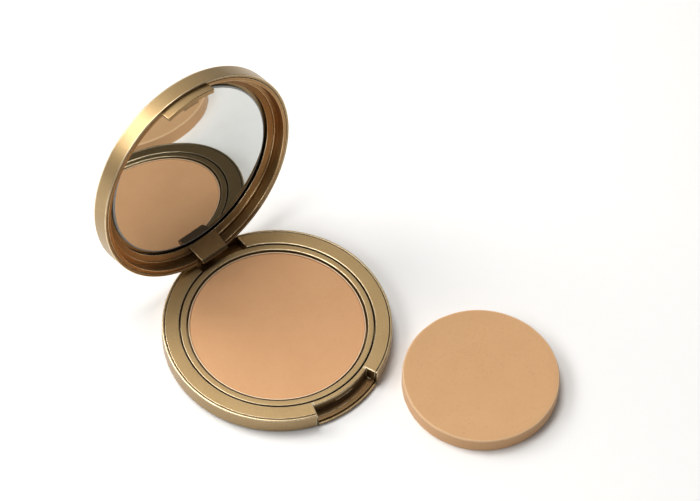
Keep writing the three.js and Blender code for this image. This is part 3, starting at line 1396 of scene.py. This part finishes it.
    def lug(self) -> bmesh.types.BMesh:
        """Lug that reaches past the rim and wraps the pin, broader where it meets the mirror.

        Returns:
            A closed solid, in millimetres.
        """
        outline = [
            (self.lug_root, self.mirror_face), (self.lug_face, self.lug_tip + self.lug_slant),
            (self.rim_inner, self.lug_tip), (self.lug_back, self.lug_tip + self.lug_chamfer),
            *arc(self.pin, self.lug_radius, -30, 120, 14), (self.pin.y - 1, self.mirror_face),
        ]
        solid = drawn_out(outline, 1.0)
        rise = self.mirror_face + 1 - self.lug_tip
        # The bar is one millimetre to each side so far, and gets its half width here.
        for vert in solid.verts:
            share = (vert.co.z - self.lug_tip) / rise
            vert.co.x *= self.lug_tip_half + (self.lug_root_half - self.lug_tip_half) * share
        front = self.lug_back - self.lug_soft
        soften(solid, self.lug_soft, 2, self.lug_soft_turn,
               where=lambda m: m.y < front and m.z < self.mirror_face - 0.1)
        return solid

    def cavity(self) -> bmesh.types.BMesh:
        """Space inside the lug for the base's tongue.

        Returns:
            A closed solid, in millimetres.
        """
        ceiling = self.pin.z + self.cavity_height
        outline = [
            (self.cavity_front, 0), (self.cavity_front, self.lug_tip + self.cavity_lip),
            (self.ledge_inner, self.pin.z - self.cavity_lead), (self.ledge_inner, ceiling),
            (self.far, ceiling), (self.far, 0),
        ]
        return drawn_out(outline, self.cheek_inner)

    def mirror(self) -> bpy.types.Object:
        """Round mirror with a ground bevel.

        Returns:
            The finished piece.
        """
        face, back = self.mirror_face, self.mirror_face + self.mirror_thickness
        section = (
            Section(steps=96).at(0, face).at(self.mirror_radius - self.bevel, face)
            .at(self.mirror_radius, face + self.bevel / 2).at(self.mirror_radius, back).at(0, back)
        )
        return finished(section.spun(), "mirror_glass", self.opened(), widest_edge=0.8)

    def build(self) -> None:
        """Makes and dresses the lid."""
        inward = tuple(self.opened().to_3x3() @ UPRIGHT)
        mouth = self.open_spot(0.0, self.mirror_face - self.gap_shade)
        latch_spot = self.open_spot(-self.latch_outer, self.latch_tip)
        # The liner's gold gets black painted shade in the gap behind the mirror's face and painted shade
        # round the hinge.
        lining = replace(
            LINER_GOLD,
            hollow_shade=PaintedHollowShade(mouth, inward, fade=self.gap_shade, tone=(0.02, 0.015, 0.01), share=1.0),
            patches=(hinge_shade(self.pin, self.hinge_shade_reach),
                     Patch(latch_spot, self.latch_reach, OUTER_GOLD.tone, 0.9)))
        settle(self.cover(), OUTER_GOLD, Body.LID, Slot.SATIN_GOLD, "lid_shell")
        settle(self.liner(), lining, Body.LID, Slot.INNER_GOLD, "lid_frame")
        settle(self.mirror(), SilveredGlass(), Body.LID, Slot.MIRROR, "mirror")
        dress_part("mirror_pad", PlainFinish("foam_tape", (0.78, 0.77, 0.73), (0.68, 0.67, 0.62), 0.8))


# ---- The sponge ----------------------------------------------------------------------


@dataclass
class Puff:
    """Loose round foam sponge, lying flat; lengths are in millimetres."""

    radius: float = measured(half_width, "sponge")
    high: float = measured(ends_at, "sponge")
    edge_round: float = 0.55
    foot_round: float = 0.4
    inset: float = 0.12
    crown_inset: float = 0.10
    edge_run: float = 0.8
    underside: float = 0.03
    rings: int = 26
    side_rings: Triple = (0.3, 0.5, 0.7)
    face_unevenness: float = 0.07
    face_ripple: float = 0.16
    wall_unevenness: float = 0.08
    wall_ripple: float = 0.22
    wall_depth: float = 1.5
    wall_draw_in: float = 0.02
    ripple_shift: Triple = (7.3, 2.1, 4.4)
    fullness: float = 0.7

    def middle(self) -> Vector:
        """Middle of the sponge on the table, in millimetres."""
        low, high = low_high("sponge")
        return Vector(((low.x + high.x) / 2, (low.y + high.y) / 2, 0.0))

    def foam(self) -> bpy.types.Object:
        """Die-cut disc whose face and wall are very slightly uneven.

        Returns:
            The finished piece.
        """
        section = Section(steps=200).at(0, self.underside)
        reach = self.radius - self.inset
        radii = [(reach - self.edge_run) * ring / self.rings for ring in range(self.rings)]
        for r in radii[4:]:
            section.at(r, self.underside)
        section.at(reach, self.underside, self.foot_round)
        for share in self.side_rings:
            section.at(reach, self.high * share)
        section.at(reach, self.high - self.inset, self.edge_round)
        for r in reversed(radii):
            section.at(r, self.high - self.crown_inset)
        solid = section.spun(5)
        middle = self.middle()
        for vert in solid.verts:
            spot = vert.co + Vector(self.ripple_shift)
            lift = vert.co.z / self.high
            vert.co.z += lift * self.face_unevenness * noise.noise(spot * self.face_ripple)
            outward = Vector((vert.co.x, vert.co.y, 0.0))
            if outward.length > reach - self.wall_depth:
                bulge = self.wall_unevenness * noise.noise(spot * self.wall_ripple)
                vert.co += outward.normalized() * (bulge - self.wall_draw_in)
            vert.co += middle
        return finished(solid, "foam_puff", even_shading=False)

    def build(self) -> None:
        """Makes and dresses the sponge."""
        puff = self.foam()
        settle(puff, LatexFoam(), Body.PUFF, Slot.FOAM, "sponge")


# ---- The studio ----------------------------------------------------------------------


def towards(bearing: float, height: float) -> Triple:
    """Direction from the table's middle, by degrees from +X towards +Y and degrees above the table."""
    turn, lift = math.radians(bearing), math.radians(height)
    return math.cos(lift) * math.cos(turn), math.cos(lift) * math.sin(turn), math.sin(lift)


@dataclass
class Lamp:
    """A soft square lamp aimed at the compact.

    Attributes:
        name: what it is.
        bearing: compass direction it stands in, degrees from +X towards +Y.
        height: degrees above the table.
        away: metres from the compact.
        size: metres across.
        power: watts.
        colour: tint.
    """

    name: str
    bearing: float
    height: float
    away: float
    size: float
    power: float
    colour: Colour = (1.0, 1.0, 1.0)

    def light(self) -> None:
        """Hangs the lamp."""
        place = self.away * Vector(towards(self.bearing, self.height))
        lamp = bpy.data.lights.new(self.name, "AREA")
        lamp.shape = "DISK"
        lamp.size = self.size
        lamp.energy = self.power
        lamp.color = self.colour
        item = bpy.data.objects.new(self.name, lamp)
        item.location = place
        item.rotation_euler = place.to_track_quat("Z", "Y").to_euler()
        bpy.context.scene.collection.objects.link(item)


@dataclass
class Viewpoint:
    """Where the camera stands, in units of the base's radius.

    Attributes:
        radius: base radius in metres.
        bearing: degrees from the front towards the right-hand side.
        height: degrees above the table.
        roll: degrees that the picture is turned.
        away: distance from the middle of the base's underside.
        aside: how far that point lies to the picture's right of centre.
        above: how far it lies above centre.
        lens: focal length in millimetres.
        film: width of the film in millimetres.
        nearest: metres from which things are seen.
    """

    radius: float
    bearing: float = -43.32
    height: float = 55.20
    roll: float = 3.31
    away: float = 34.831
    aside: float = -0.6365
    above: float = -0.7393
    lens: float = 205.71
    film: float = 36.0
    nearest: float = 0.05

    def look(self) -> None:
        """Sets the camera up and makes it the scene's."""
        turn, lift, roll = (math.radians(v) for v in (self.bearing, self.height, self.roll))
        back = Vector((math.sin(turn) * math.cos(lift), -math.cos(turn) * math.cos(lift),
                       math.sin(lift)))
        right = Vector((math.cos(turn), math.sin(turn), 0.0))
        up = back.cross(right)
        right, up = (math.cos(roll) * right + math.sin(roll) * up,
                     math.cos(roll) * up - math.sin(roll) * right)
        place = (self.away * back - self.aside * right - self.above * up) * self.radius
        stance = Matrix((right, up, back)).transposed().to_4x4()
        stance.translation = place
        lens = bpy.data.cameras.new("camera")
        lens.sensor_width = self.film
        lens.lens = self.lens
        lens.clip_start = self.nearest
        camera = bpy.data.objects.new("camera", lens)
        camera.matrix_world = stance
        bpy.context.scene.collection.objects.link(camera)
        bpy.context.scene.camera = camera


@dataclass
class Studio:
    """Pale table top, soft lamps, even surroundings and the camera; lengths are in metres."""

    reach: float = 1.6
    below: float = 0.00002
    surround: float = 0.15
    surround_tone: Colour = (1.0, 0.985, 0.96)
    glow: float = 0.70
    glow_bearing: float = 60.0
    glow_height: float = 28.0
    glow_focus: float = 6.0
    table_tone: Colour = (0.96, 0.957, 0.953)

    def table(self) -> None:
        """Lays the table top just under the compact."""
        sheet = bmesh.new()
        bmesh.ops.create_grid(sheet, x_segments=2, y_segments=2, size=self.reach)
        bmesh.ops.translate(sheet, verts=sheet.verts, vec=(0, 0, -self.below))
        top = loose_object(sheet, "table_top")
        dress(top, PlainFinish("table_top", self.table_tone, tuple(0.985 * v for v in self.table_tone),
                               0.75, grain_size=3.0, relief=0.002))

    def surroundings(self) -> None:
        """Dim surroundings with one broad bright stretch behind the compact."""
        world = bpy.data.worlds.new("surroundings")
        board = Board(world)
        facing = board.add("ShaderNodeVectorMath", {"operation": "DOT_PRODUCT"}, {
            0: board.spots.outputs["Generated"], 1: towards(self.glow_bearing, self.glow_height)})
        glow = Signal(board, facing.outputs["Value"]).between(0.0, 1.0) ** self.glow_focus
        backdrop = board.add("ShaderNodeBackground", {}, {
            "Color": self.surround_tone, "Strength": self.surround + self.glow * glow})
        board.add("ShaderNodeOutputWorld", {}, {"Surface": backdrop.outputs[0]})
        bpy.context.scene.world = world

    def set_up(self, radius: float) -> None:
        """Sets up table, light and camera.

        Args:
            radius: base radius in metres.
        """
        self.table()
        self.surroundings()
        Lamp("window", 119.0, 38.0, 0.9, 0.52, 4.6, (1.0, 0.985, 0.96)).light()
        Lamp("overhead", 92.0, 74.0, 1.0, 0.50, 5.0, (1.0, 0.99, 0.97)).light()
        Lamp("side_fill", 168.0, 44.0, 1.0, 0.5, 3.1).light()
        Viewpoint(radius).look()
        bpy.context.scene.view_settings.view_transform = "Standard"


# ---- Assembly ------------------------------------------------------------------------


def hinge() -> tuple[Vector, float]:
    """Where the lid's pin lies, in millimetres, and how far the lid turns, in radians."""
    joint = next(j for j in frame["record"]["behaviour"]["joints"] if j["name"] == "lid_hinge")
    return Vector(joint["pos_m"]) / MM, math.radians(joint["range_deg"][1] - joint["range_deg"][0])


def main() -> None:
    """Builds the compact, part by part, and the studio round it."""
    logging.basicConfig(level=logging.INFO, format="%(message)s")
    pin, swing = hinge()
    case = Case(pin)
    case.build()
    PowderPan().build()
    Lid(pin, swing).build()
    Puff().build()
    Studio().set_up(case.radius * MM)


if __name__ == "__main__":
    main()
